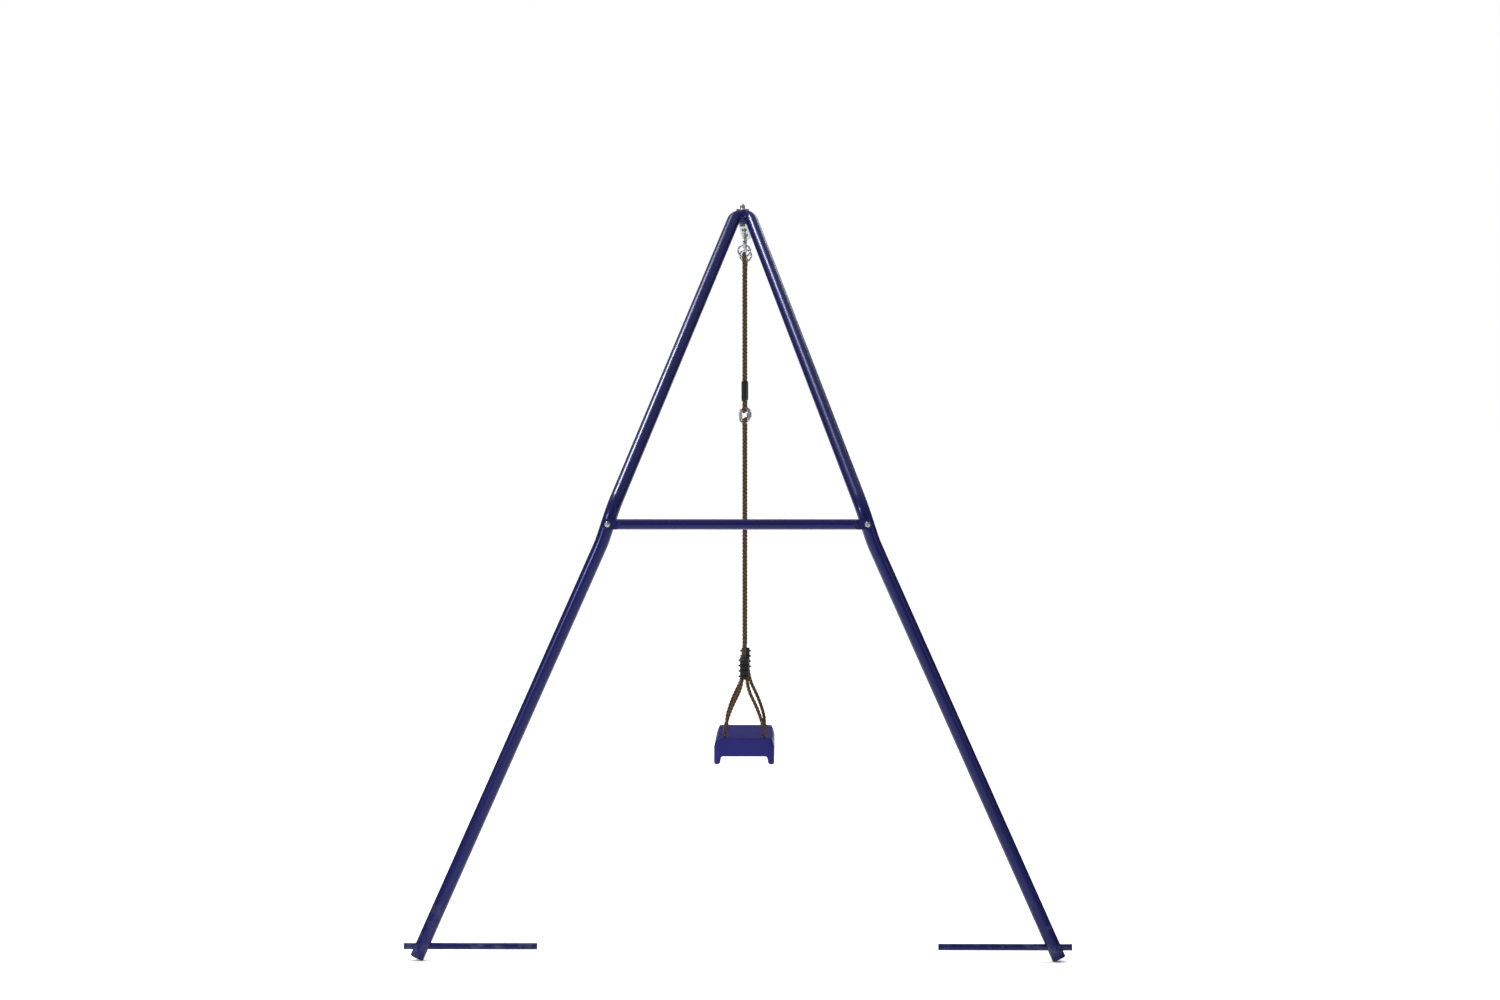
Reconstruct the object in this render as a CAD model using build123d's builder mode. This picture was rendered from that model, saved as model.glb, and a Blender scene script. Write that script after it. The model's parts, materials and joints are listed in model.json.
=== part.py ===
from build123d import *
import os
from math import acos, asin, atan2, cos, pi, radians, sin, sqrt, tan

# One-seat rope swing: a steel A-frame carries one end of a short beam, a play tower carries the other.
# Millimetres. X runs across the frame, +Y from the legs towards the tower, +Z up, ground at Z = 0.

# ---- Frame sizes ----
reach = 2185.0            # leg plane to the far end of the tower tab
apex_back = 1000.0        # how far the upper legs lean back to the apex
apex_height = 2057.0      # tube centre at the apex
foot_half_spread = 869.4  # leg centreline at the ground, from the middle
lower_slope = 0.4469      # sideways travel of a lower leg for each unit of height
bolt_height = 1179.0      # crossbar and leg joint bolt
lower_bend_height = 1130.0
upper_bend_height = 1225.0
bend_inset = 31.2         # how much narrower the frame is at the upper bend than at the lower one
lower_bend_radius = 300.0
upper_bend_radius = 70.0
apex_bend_radius = 26.0
apex_flat = 2.1           # straight end of an upper leg at the seam
leg_diameter = 38.0
leg_wall = 1.5
swage_clearance = 0.1     # radial, lower leg's swaged end inside the upper leg
swage_length = 38.0
swage_neck = 6.0          # where the lower leg narrows, below the joint line
joint_below_bolt = 22.0   # joint line between lower and upper leg
seam_gap = 0.4            # between the two upper legs at the apex

# ---- Crossbar and feet ----
crossbar_diameter = 28.0
crossbar_wall = 1.5
tab_thickness = 5.0       # crossbar's flattened end
tab_run = 24.0            # flattened length inside the bolt
tab_taper = 14.0
crossbar_solid = 2.0      # wall left before the flattened end
foot_bar_diameter = 18.0
foot_bar_wall = 1.2
foot_bar_length = 360.0
foot_bar_height = 38.0
foot_bar_outer_x = 901.0
foot_bar_clearance = 0.15
plug_clearance = 0.05
foot_plug_length = 8.0
plug_to_foot_bar = 2.3       # between a leg's end plug and the foot bar through the leg

# ---- Fasteners (M8) ----
bolt_radius = 4.0
bolt_clearance = 0.2
thread_clearance = 0.05
nut_flats = 13.0
nut_height = 6.5
washer_radius = 8.0
washer_thickness = 1.6
dome_radius = 7.5
dome_height = 5.0
dome_round = 0.9          # share of the head's height that is rounded
cap_nut_height = 12.0
cap_dome_radius = 6.1
cap_round = 0.8           # share of the dome's radius that is rounded
cap_wall = 3.0            # over the end of the cap nut's thread
thread_end_gap = 1.0
nut_chamfer = 0.3
thread_past_nut = 3.0

# ---- Beam ----
beam_diameter = 38.0
beam_wall = 2.0
clevis_plate = 4.0
clevis_web = 5.0
clevis_half_width = 7.5
clevis_nose = 7.5
web_gap = 1.0             # apex tube to the clevis web
tower_tab_length = 75.0   # outside the beam
tower_tab_inside = 30.0
tower_tab_thickness = 5.0
tower_tab_corner = 6.0
tower_tab_inset = 1.0     # tab lower than the beam tube
tower_hole_radius = 4.5
tower_hole_spacing = 45.0
tab_slot_clearance = 0.1
spacer_radius = 6.0
spacer_gap = 2.5          # above and below the spacer, inside the legs
cut_margin = 1.0          # how far a cut runs past the faces that it opens

# ---- Hangers ----
swing_back = 1540.0       # leg plane to the middle of the swing
eye_wire = 4.0            # wire radius of an eye bolt
eye_ring = 12.0           # its ring, to the wire's centre
eye_drop = 65.0           # beam centre to eye centre
ring_wire = 3.0
ring_radius = 18.5        # to the wire's centre
hang_gap = 0.3            # between pieces that hang in each other
link_wire = 3.0
link_radius = 13.5
link_straight = 18.0
link_drop = 512.0         # ring centre to link centre
link_nut_flats = 10.0
link_nut_length = 16.0
thimble_wall = 1.5
thimble_clearance = 0.1
eye_bore = 5.5            # free radius inside a thimble

# ---- Ropes ----
rope_radius = 6.0
upper_throat = 45.0       # eye centre to the point where the rope closes on itself
lower_throat = 26.0
lower_rope_throat = 40.0
eye_tightness = 0.98      # arc radius in a rope eye, as a share of the eye's
ferrule_height = 62.0
ferrule_wall = 3.0
ferrule_oval = 8.0        # deeper than wide, to take the splice
ferrule_round = 2.5
ferrule_above_eye = 20.0  # eye centre to the ferrule's lower end
clamp_above_seat = 258.0
clamp_height = 72.0
clamp_wall = 1.2          # outside the two strands
clamp_face = 3.0          # in front of and behind them
clamp_corner = 0.45       # share of the clamp's depth
clamp_ribs = 4
rib_pitch = 16.8
rib_reach = 5.5           # past the clamp's sides
rib_rise = 4.5            # past its front and back
rib_thickness = 7.0
rib_corner = 0.42         # share of a rib's thickness
strand_gap = 0.3          # from the middle to each strand inside the clamp
strand_lead = 8.0         # above the clamp, where the rope starts to bend
strand_shift = 26.0       # below its top, where the rope is beside the other strand
tail_depth = 30.0         # below its top, where the other strand ends

# ---- Seat ----
seat_length = 390.0
seat_width = 189.0
seat_top = 451.0
seat_depth = 83.0
seat_plate = 10.0
seat_flange = 23.0
seat_end_wall = 9.0
seat_end_depth = 58.0
seat_corner = 17.0
hole_from_side = 33.5
hole_from_end = 20.0
seat_hole_clearance = 1.6
seat_shoulder = 22.0
seat_draft = 5.0
seat_end_corner = 14.0
seat_lip = 15.0           # flange thickness at its lower edge
under_straight = 0.5      # rope's shortest straight run, beside its bend below the seat

# ---- Worked out from the sizes above ----
leg_radius = leg_diameter / 2
crossbar_radius = crossbar_diameter / 2
crossbar_y = -(leg_radius + tab_thickness / 2)
foremost = crossbar_radius - crossbar_y
leg_y = -(reach - foremost) / 2
apex_y = leg_y + apex_back
beam_radius = beam_diameter / 2
bolt_hole_radius = bolt_radius + bolt_clearance
nut_bore_radius = bolt_radius + thread_clearance
spacer_height = leg_diameter - 2 * (leg_wall + spacer_gap)
rope_spacing = seat_length - 2 * hole_from_end
hole_half_spread = seat_width / 2 - hole_from_side
seat_hole_radius = rope_radius + seat_hole_clearance
under_bend = 2 * rope_radius + under_straight
rope_eye_radius = eye_bore + thimble_wall + rope_radius
strand_offset = rope_radius + strand_gap
ferrule_width = 2 * (rope_radius + ferrule_wall)
ferrule_depth = ferrule_width + ferrule_oval
clamp_width = 2 * (strand_offset + rope_radius + clamp_wall)
clamp_depth = 2 * (rope_radius + clamp_face)
beam_start = apex_y + leg_radius + web_gap + clevis_web
beam_end = leg_y + reach - tower_tab_length
rope_y = {"near": leg_y + swing_back - rope_spacing / 2, "far": leg_y + swing_back + rope_spacing / 2}
eye_z = apex_height - eye_drop
swing_pivot_z = eye_z - eye_ring
ring_z = swing_pivot_z + eye_wire + hang_gap + ring_wire - ring_radius
sway_pivot_z = ring_z - ring_radius
top_eye_z = sway_pivot_z + ring_wire + hang_gap - eye_bore
link_z = ring_z - link_drop
link_half = link_straight / 2 + link_radius
link_eye_gap = link_wire + hang_gap + rope_radius
low_eye_z = link_z + link_half - link_eye_gap + rope_eye_radius
second_eye_z = link_z - link_half + link_eye_gap - rope_eye_radius
seat_pivot_z = seat_top - seat_plate / 2
clamp_top = seat_pivot_z + clamp_above_seat
clamp_bottom = clamp_top - clamp_height
seat_y = leg_y + swing_back

sides = {"left": -1, "right": 1}


def save(piece, name):
    """Labels a finished piece and writes it as its own STEP file."""
    piece.label = name
    export_step(piece, f"parts/{name}.step")


def leg_x(height):
    """Half spread of a lower leg's centreline at a height."""
    return foot_half_spread - lower_slope * height


def mid_x(height):
    """Half spread of the short run that carries the crossbar bolt."""
    share = (height - lower_bend_height) / (upper_bend_height - lower_bend_height)
    return leg_x(lower_bend_height) - bend_inset * share


def turn_at(points, i):
    """Turn of a route at its point i, in radians."""
    before = Vector(*points[i]) - Vector(*points[i - 1])
    after = Vector(*points[i + 1]) - Vector(*points[i])
    return radians(before.get_angle(after))


def easy_radii(points, fixed):
    """Largest tangent arc at each corner, or the fixed radius of what the route goes round."""
    radii = []
    for i in range(1, len(points) - 1):
        before = (Vector(*points[i]) - Vector(*points[i - 1])).length
        after = (Vector(*points[i + 1]) - Vector(*points[i])).length
        largest = 0.45 * min(before, after) / tan(turn_at(points, i) / 2)
        radii.append(fixed.get(i, largest))
    return radii


def swept(points, radii, outer, inner=0.0):
    """Round bar or tube along straight runs joined by tangent arcs."""
    with BuildPart() as bar:
        with BuildLine() as path:
            FilletPolyline(*points, radius=radii)
        with BuildSketch(Plane(path.line @ 0, z_dir=path.line % 0)):
            Circle(outer)
            if inner:
                Circle(inner, mode=Mode.SUBTRACT)
        sweep(path=path.wires()[0])
    return bar.part


def rod(start, end, outer, inner=0.0):
    """Straight bar or tube between two points."""
    axis = Vector(*end) - Vector(*start)
    with BuildPart() as bar:
        with BuildSketch(Plane(start, z_dir=axis)):
            Circle(outer)
            if inner:
                Circle(inner, mode=Mode.SUBTRACT)
        extrude(amount=axis.length)
    return bar.part


def hex_nut(centre, axis, height, flats=nut_flats, bore=nut_bore_radius):
    """Nut whose near face is at centre and which grows along axis."""
    with BuildPart() as nut:
        with BuildSketch(Plane(centre, z_dir=axis)):
            RegularPolygon(flats / 2, 6, major_radius=False)
            Circle(bore, mode=Mode.SUBTRACT)
        extrude(amount=height)
        chamfer(nut.edges().filter_by(GeomType.LINE, reverse=True).group_by(SortBy.RADIUS)[0], nut_chamfer)
    return nut.part


def washer(centre, axis):
    """Flat washer whose near face is at centre."""
    return rod(centre, Vector(*centre) + Vector(*axis) * washer_thickness, washer_radius, bolt_hole_radius)


# ---- Legs ----
joint_z = bolt_height - joint_below_bolt
bolt_half_spread = mid_x(bolt_height)
upper_spread = mid_x(upper_bend_height)
upper_rise = apex_height - upper_bend_height
apex_turn = acos(upper_spread / sqrt(upper_spread**2 + upper_rise**2 + apex_back**2))
apex_corner_x = apex_flat + apex_bend_radius * tan(apex_turn / 2)
lean = atan2(lower_slope, 1)
foot_end_z = leg_radius * sin(lean)

for side, sign in sides.items():
    foot = (sign * leg_x(foot_end_z), leg_y, foot_end_z)
    low_bend = (sign * leg_x(lower_bend_height), leg_y, lower_bend_height)
    joint = (sign * mid_x(joint_z), leg_y, joint_z)
    high_bend = (sign * mid_x(upper_bend_height), leg_y, upper_bend_height)
    corner = (sign * apex_corner_x, apex_y, apex_height)
    seam = (sign * seam_gap / 2, apex_y, apex_height)
    up = (Vector(*high_bend) - Vector(*joint)).normalized()
    bore = leg_radius - leg_wall
    bolt_point = (sign * bolt_half_spread, leg_y, bolt_height)

    with BuildPart() as lower_leg:
        add(swept([foot, low_bend, joint], [lower_bend_radius], leg_radius, bore))
        swage = bore - swage_clearance
        neck = Vector(*joint) - up * swage_neck
        add(rod(neck, joint, bore + leg_wall / 2, swage - leg_wall))
        add(rod(joint, Vector(*joint) + up * swage_length, swage, swage - leg_wall))
        with Locations(Plane(bolt_point, z_dir=(0, 1, 0))):
            Cylinder(bolt_hole_radius, leg_diameter * 2, mode=Mode.SUBTRACT)
        bar_hole = foot_bar_diameter / 2 + foot_bar_clearance
        with Locations(Plane((sign * leg_x(foot_bar_height), leg_y, foot_bar_height), z_dir=(1, 0, 0))):
            Cylinder(bar_hole, leg_diameter * 2, mode=Mode.SUBTRACT)
    save(lower_leg.part, f"{side}_lower_leg")

    with BuildPart() as upper_leg:
        bends = [upper_bend_radius, apex_bend_radius]
        add(swept([joint, high_bend, corner, seam], bends, leg_radius, bore))
        with Locations(Plane(bolt_point, z_dir=(0, 1, 0))):
            Cylinder(bolt_hole_radius, leg_diameter * 2, mode=Mode.SUBTRACT)
        with Locations((0, apex_y, apex_height)):
            Cylinder(bolt_hole_radius, leg_diameter * 2, mode=Mode.SUBTRACT)
    save(upper_leg.part, f"{side}_upper_leg")

    inner_end = (sign * (foot_bar_outer_x - foot_bar_length), leg_y, foot_bar_height)
    outer_end = (sign * foot_bar_outer_x, leg_y, foot_bar_height)
    with BuildPart() as foot_bar:
        add(rod(inner_end, outer_end, foot_bar_diameter / 2, foot_bar_diameter / 2 - foot_bar_wall))
    save(foot_bar.part, f"{side}_foot_bar")

with BuildPart() as foot_bar_plugs:
    plug = foot_bar_diameter / 2 - foot_bar_wall - plug_clearance
    for sign in sides.values():
        outer_x = sign * foot_bar_outer_x
        inner_x = sign * (foot_bar_outer_x - foot_bar_length)
        for end_x, inward in ((outer_x, -sign), (inner_x, sign)):
            start = (end_x, leg_y, foot_bar_height)
            add(rod(start, (end_x + inward * foot_plug_length, leg_y, foot_bar_height), plug))
save(foot_bar_plugs.part, "foot_bar_plugs")

with BuildPart() as leg_end_plugs:
    plug = leg_radius - leg_wall - plug_clearance
    plug_top = foot_bar_height - foot_bar_diameter / 2 - plug_to_foot_bar
    plug_length = (plug_top - foot_end_z - plug * sin(lean)) / cos(lean)
    for sign in sides.values():
        foot = Vector(sign * leg_x(foot_end_z), leg_y, foot_end_z)
        along = Vector(-sign * sin(lean), 0, cos(lean)) * plug_length
        add(rod(foot, foot + along, plug))
save(leg_end_plugs.part, "leg_end_plugs")

# ---- Crossbar with flattened ends ----
tip = bolt_half_spread + crossbar_radius
round_end = bolt_half_spread - tab_run - tab_taper
with BuildPart() as crossbar:
    bar_y = leg_y + crossbar_y
    add(rod((-tip, bar_y, bolt_height), (tip, bar_y, bolt_height), crossbar_radius))
    hollow = round_end - crossbar_solid
    inside = crossbar_radius - crossbar_wall
    with Locations(Plane((0, bar_y, bolt_height), z_dir=(1, 0, 0))):
        Cylinder(inside, 2 * hollow, mode=Mode.SUBTRACT)
    for sign in sides.values():
        for face in (-1, 1):
            near = bar_y + face * tab_thickness / 2
            wide = bar_y + face * (crossbar_radius + cut_margin)
            with BuildSketch(Plane.XY.offset(bolt_height - crossbar_radius - cut_margin)):
                with BuildLine():
                    Polyline(
                        (sign * round_end, wide),
                        (sign * (round_end + tab_taper), near),
                        (sign * (tip + cut_margin), near),
                        (sign * (tip + cut_margin), wide),
                        close=True,
                    )
                make_face()
            extrude(amount=2 * (crossbar_radius + cut_margin), mode=Mode.SUBTRACT)
    front = Plane((0, bar_y - leg_radius, bolt_height), x_dir=(1, 0, 0), z_dir=(0, 1, 0))
    with BuildSketch(front):
        SlotOverall(2 * tip, crossbar_diameter)
    extrude(amount=leg_diameter, mode=Mode.INTERSECT)
    for sign in sides.values():
        with Locations(Plane((sign * bolt_half_spread, leg_y, bolt_height), z_dir=(0, 1, 0))):
            Cylinder(bolt_hole_radius, 4 * leg_radius, mode=Mode.SUBTRACT)
save(crossbar.part, "crossbar")

tab_front = bar_y - tab_thickness / 2
head_seat = tab_front - washer_thickness
leg_back = leg_y + leg_radius
nut_seat = leg_back + washer_thickness

with BuildPart() as crossbar_washers:
    for sign in sides.values():
        add(washer((sign * bolt_half_spread, tab_front, bolt_height), (0, -1, 0)))
        add(washer((sign * bolt_half_spread, leg_back, bolt_height), (0, 1, 0)))
save(crossbar_washers.part, "crossbar_washers")

with BuildPart() as crossbar_bolts:
    for sign in sides.values():
        end_y = nut_seat + nut_height + thread_past_nut
        x = sign * bolt_half_spread
        add(rod((x, head_seat, bolt_height), (x, end_y, bolt_height), bolt_radius))
        with BuildSketch(Plane((x, head_seat, bolt_height), z_dir=(0, -1, 0))):
            Circle(dome_radius)
        extrude(amount=dome_height)
    rims = crossbar_bolts.edges().filter_by(GeomType.CIRCLE).group_by(Axis.Y)[0]
    fillet(rims, dome_round * dome_height)
save(crossbar_bolts.part, "crossbar_bolts")

with BuildPart() as crossbar_nuts:
    for sign in sides.values():
        add(hex_nut((sign * bolt_half_spread, nut_seat, bolt_height), (0, 1, 0), nut_height))
save(crossbar_nuts.part, "crossbar_nuts")

# ---- Beam from the apex to the tower ----
clevis_top = apex_height + leg_radius
clevis_bottom = apex_height - leg_radius
with BuildPart() as beam_clevis:
    web_back = beam_start
    web_front = beam_start - clevis_web
    with BuildSketch(Plane.XY.offset(clevis_bottom - clevis_plate)):
        with Locations((0, (web_front + web_back) / 2)):
            Rectangle(beam_diameter, clevis_web)
    extrude(amount=leg_diameter + 2 * clevis_plate)
    for level in (clevis_bottom - clevis_plate, clevis_top):
        with BuildSketch(Plane.XY.offset(level)):
            with Locations((0, (apex_y + web_front) / 2)):
                Rectangle(2 * clevis_half_width, web_front - apex_y)
            with Locations((0, apex_y)):
                Circle(clevis_nose)
        extrude(amount=clevis_plate)
    with Locations((0, apex_y, apex_height)):
        Cylinder(bolt_hole_radius, 3 * leg_diameter, mode=Mode.SUBTRACT)
save(beam_clevis.part, "beam_clevis")

with BuildPart() as beam_tube:
    add(rod((0, beam_start, apex_height), (0, beam_end, apex_height), beam_radius, beam_radius - beam_wall))
    for y in rope_y.values():
        with Locations((0, y, apex_height)):
            Cylinder(bolt_hole_radius, 2 * beam_diameter, mode=Mode.SUBTRACT)
    with Locations((0, beam_end, apex_height)):
        slot = tower_tab_thickness + 2 * tab_slot_clearance
        Box(slot, 2 * (tower_tab_inside + tab_slot_clearance), beam_diameter, mode=Mode.SUBTRACT)
save(beam_tube.part, "beam_tube")

with BuildPart() as tower_tab:
    tab_length = tower_tab_length + tower_tab_inside
    tab_corner = (-tower_tab_thickness / 2, beam_end - tower_tab_inside, apex_height)
    with BuildSketch(Plane(tab_corner, x_dir=(0, 1, 0), z_dir=(1, 0, 0))):
        with Locations((tab_length / 2, 0)):
            RectangleRounded(tab_length, beam_diameter - tower_tab_inset, tower_tab_corner)
        first_hole = tower_tab_inside + (tower_tab_length - tower_hole_spacing) / 2
        with Locations((first_hole, 0), (first_hole + tower_hole_spacing, 0)):
            Circle(tower_hole_radius, mode=Mode.SUBTRACT)
    extrude(amount=tower_tab_thickness)
save(tower_tab.part, "tower_tab")

# ---- Apex bolt ----
apex_top = clevis_top + clevis_plate
apex_low = clevis_bottom - clevis_plate
with BuildPart() as apex_washers:
    add(washer((0, apex_y, apex_top), (0, 0, 1)))
    add(washer((0, apex_y, apex_low), (0, 0, -1)))
save(apex_washers.part, "apex_washers")

with BuildPart() as apex_bolt:
    head_z = apex_low - washer_thickness
    thread_end = apex_top + washer_thickness + cap_nut_height - cap_wall - thread_end_gap
    add(rod((0, apex_y, head_z), (0, apex_y, thread_end), bolt_radius))
    with BuildSketch(Plane.XY.offset(head_z - nut_height)):
        with Locations((0, apex_y)):
            RegularPolygon(nut_flats / 2, 6, major_radius=False)
    extrude(amount=nut_height)
save(apex_bolt.part, "apex_bolt")

with BuildPart() as apex_cap_nut:
    base = apex_top + washer_thickness
    with BuildSketch(Plane.XY.offset(base)):
        with Locations((0, apex_y)):
            RegularPolygon(nut_flats / 2, 6, major_radius=False)
    extrude(amount=nut_height)
    with BuildSketch(Plane.XY.offset(base)):
        with Locations((0, apex_y)):
            Circle(cap_dome_radius)
    extrude(amount=cap_nut_height)
    rim = apex_cap_nut.edges().filter_by(GeomType.CIRCLE).group_by(Axis.Z)[-1]
    fillet(rim, cap_round * cap_dome_radius)
    blind = cap_nut_height - cap_wall
    with Locations((0, apex_y, base + blind / 2)):
        Cylinder(nut_bore_radius, blind, mode=Mode.SUBTRACT)
save(apex_cap_nut.part, "apex_cap_nut")

with BuildPart() as apex_spacer:
    half = spacer_height / 2
    low, high = (0, apex_y, apex_height - half), (0, apex_y, apex_height + half)
    add(rod(low, high, spacer_radius, bolt_hole_radius))
save(apex_spacer.part, "apex_spacer")

# ---- Eye bolts ----
beam_top = apex_height + beam_radius
beam_low = apex_height - beam_radius
eye_bolt_end = beam_top + washer_thickness + nut_height + thread_past_nut
for name, y in rope_y.items():
    with BuildPart() as eye_bolt:
        with Locations(Plane((0, y, eye_z), z_dir=(1, 0, 0))):
            Torus(eye_ring, eye_wire)
        add(rod((0, y, eye_z + eye_ring), (0, y, eye_bolt_end), bolt_radius))
    save(eye_bolt.part, f"{name}_eye_bolt")

with BuildPart() as eye_bolt_washers:
    for y in rope_y.values():
        add(washer((0, y, beam_top), (0, 0, 1)))
        add(washer((0, y, beam_low), (0, 0, -1)))
save(eye_bolt_washers.part, "eye_bolt_washers")

with BuildPart() as eye_bolt_nuts:
    for y in rope_y.values():
        add(hex_nut((0, y, beam_top + washer_thickness), (0, 0, 1), nut_height))
        add(hex_nut((0, y, beam_low - washer_thickness), (0, 0, -1), nut_height))
save(eye_bolt_nuts.part, "eye_bolt_nuts")


# ---- Ropes ----
def eye_points(y, centre_z, throat, way):
    """Corners of a rope eye round its centre; way is 1 for an eye at a rope's top, -1 at its foot."""
    opening = asin(rope_eye_radius / throat)
    turn = (pi + 2 * opening) / 4
    far = rope_eye_radius / cos(turn / 2)
    corners = []
    for k in range(4):
        angle = pi + opening - turn * (k + 0.5)
        corners.append((0, y + far * cos(angle), centre_z + way * far * sin(angle)))
    return corners


def rope_with_eye(y, centre_z, throat, way, onward):
    """Rope whose end goes round an eye and is spliced back into itself at the throat."""
    corners = eye_points(y, centre_z, throat, way)
    splice = (0, y, centre_z - way * throat)
    crown = (0, y, centre_z + way * rope_eye_radius)
    round_eye = eye_tightness * rope_eye_radius
    tail = [splice, corners[0], corners[1], crown]
    body = [crown, corners[2], corners[3], splice, *onward]
    body_radii = easy_radii(body, {1: round_eye, 2: round_eye})
    print("rope radii", [round(r, 1) for r in body_radii])
    with BuildPart() as rope:
        add(swept(tail, [round_eye, round_eye], rope_radius))
        add(swept(body, body_radii, rope_radius))
    return rope.part


def clamp_rib(y, height):
    """Oval rib of a clamp, round its middle height."""
    with BuildPart() as rib:
        with BuildSketch(Plane.XY.offset(height - rib_thickness / 2)):
            with Locations((0, y)):
                Ellipse(clamp_width / 2 + rib_reach, clamp_depth / 2 + rib_rise)
        extrude(amount=rib_thickness)
        fillet(rib.edges(), rib_corner * rib_thickness)
    return rib.part


ferrule_bottom = low_eye_z + ferrule_above_eye
middle_z = (top_eye_z - upper_throat + low_eye_z + lower_throat) / 2
strand = [
    (-strand_offset, seat_pivot_z + 166.0),
    (-41.0, seat_pivot_z + 97.0),
    (-59.5, seat_pivot_z + 41.0),
    (-hole_half_spread, seat_pivot_z + 20.0),
]

for name, y in rope_y.items():
    with BuildPart() as top_ring:
        with Locations(Plane((0, y, ring_z), z_dir=(0, 1, 0))):
            Torus(ring_radius, ring_wire)
    save(top_ring.part, f"{name}_top_ring")

    with BuildPart() as thimble:
        groove = rope_radius + thimble_clearance
        with BuildSketch(Plane((0, y, top_eye_z), x_dir=(1, 0, 0), z_dir=(0, -1, 0))):
            with Locations((0, rope_eye_radius)):
                Circle(groove + thimble_wall)
                Circle(groove, mode=Mode.SUBTRACT)
            with Locations((0, rope_eye_radius + groove)):
                Rectangle(4 * groove, 2 * (groove + 2 * cut_margin), mode=Mode.SUBTRACT)
        revolve(axis=Axis((0, y, top_eye_z), (1, 0, 0)))
    save(thimble.part, f"{name}_thimble")

    with BuildPart() as upper_rope:
        add(rope_with_eye(y, top_eye_z, upper_throat, 1, [(0, y, middle_z)]))
        add(rope_with_eye(y, low_eye_z, lower_throat, -1, [(0, y, middle_z)]))
    save(upper_rope.part, f"{name}_upper_rope")

    with BuildPart() as ferrule:
        with BuildSketch(Plane.XY.offset(ferrule_bottom)):
            with Locations((0, y)):
                Ellipse(ferrule_width / 2, ferrule_depth / 2)
        extrude(amount=ferrule_height)
        fillet(ferrule.edges(), ferrule_round)
        add(upper_rope.part, mode=Mode.SUBTRACT)
    save(ferrule.part, f"{name}_ferrule")

    with BuildPart() as link:
        half = link_straight / 2
        with BuildLine(Plane((0, y, link_z), x_dir=(1, 0, 0), z_dir=(0, -1, 0))) as oval:
            Line((link_radius, -half), (link_radius, half))
            ThreePointArc((link_radius, half), (0, half + link_radius), (-link_radius, half))
            Line((-link_radius, half), (-link_radius, -half))
            ThreePointArc((-link_radius, -half), (0, -half - link_radius), (link_radius, -half))
        with BuildSketch(Plane(oval.line @ 0, z_dir=oval.line % 0)):
            Circle(link_wire)
        sweep(path=oval.wires()[0])
    save(link.part, f"{name}_link")

    with BuildPart() as link_nut:
        start = (link_radius, y, link_z - link_nut_length / 2)
        add(hex_nut(start, (0, 0, 1), link_nut_length, link_nut_flats, link_wire + thread_clearance))
    save(link_nut.part, f"{name}_link_nut")

    left_strand = [(x, y, z) for x, z in strand]
    left_strand.append((-hole_half_spread, y, seat_pivot_z))
    into_clamp = [(0, y, clamp_top + strand_lead), (-strand_offset, y, clamp_top - strand_shift)]
    with BuildPart() as lower_rope:
        add(rope_with_eye(y, second_eye_z, lower_rope_throat, 1, [*into_clamp, *left_strand]))
        with Locations(left_strand[-1]):
            Sphere(rope_radius)
    save(lower_rope.part, f"{name}_lower_rope")

    tail_end = (strand_offset, y, clamp_top - tail_depth)
    right_strand = [(-x, y, z) for x, y, z in left_strand]
    right_route = [tail_end, *right_strand]
    right_radii = easy_radii(right_route, {})
    print("strand radii", [round(r, 1) for r in right_radii])
    with BuildPart() as strand_piece:
        add(swept(right_route, right_radii, rope_radius))
        with Locations(right_strand[-1]):
            Sphere(rope_radius)
    save(strand_piece.part, f"{name}_right_strand")

    with BuildPart() as clamp:
        with BuildSketch(Plane.XY.offset(clamp_bottom)):
            with Locations((0, y)):
                RectangleRounded(clamp_width, clamp_depth, clamp_corner * clamp_depth)
        extrude(amount=clamp_height)
        first_rib = clamp_bottom + (clamp_height - (clamp_ribs - 1) * rib_pitch) / 2
        for k in range(clamp_ribs):
            add(clamp_rib(y, first_rib + k * rib_pitch))
        add(lower_rope.part, mode=Mode.SUBTRACT)
        add(strand_piece.part, mode=Mode.SUBTRACT)
    save(clamp.part, f"{name}_clamp")

    loop_top = seat_pivot_z - rope_radius - hang_gap
    loop_run = loop_top - under_bend - under_straight
    under = [
        (-hole_half_spread, y, loop_top),
        (-hole_half_spread, y, loop_run),
        (hole_half_spread, y, loop_run),
        (hole_half_spread, y, loop_top),
    ]
    with BuildPart() as seat_loop:
        add(swept(under, [under_bend, under_bend], rope_radius))
    save(seat_loop.part, f"{name}_seat_loop")

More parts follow.
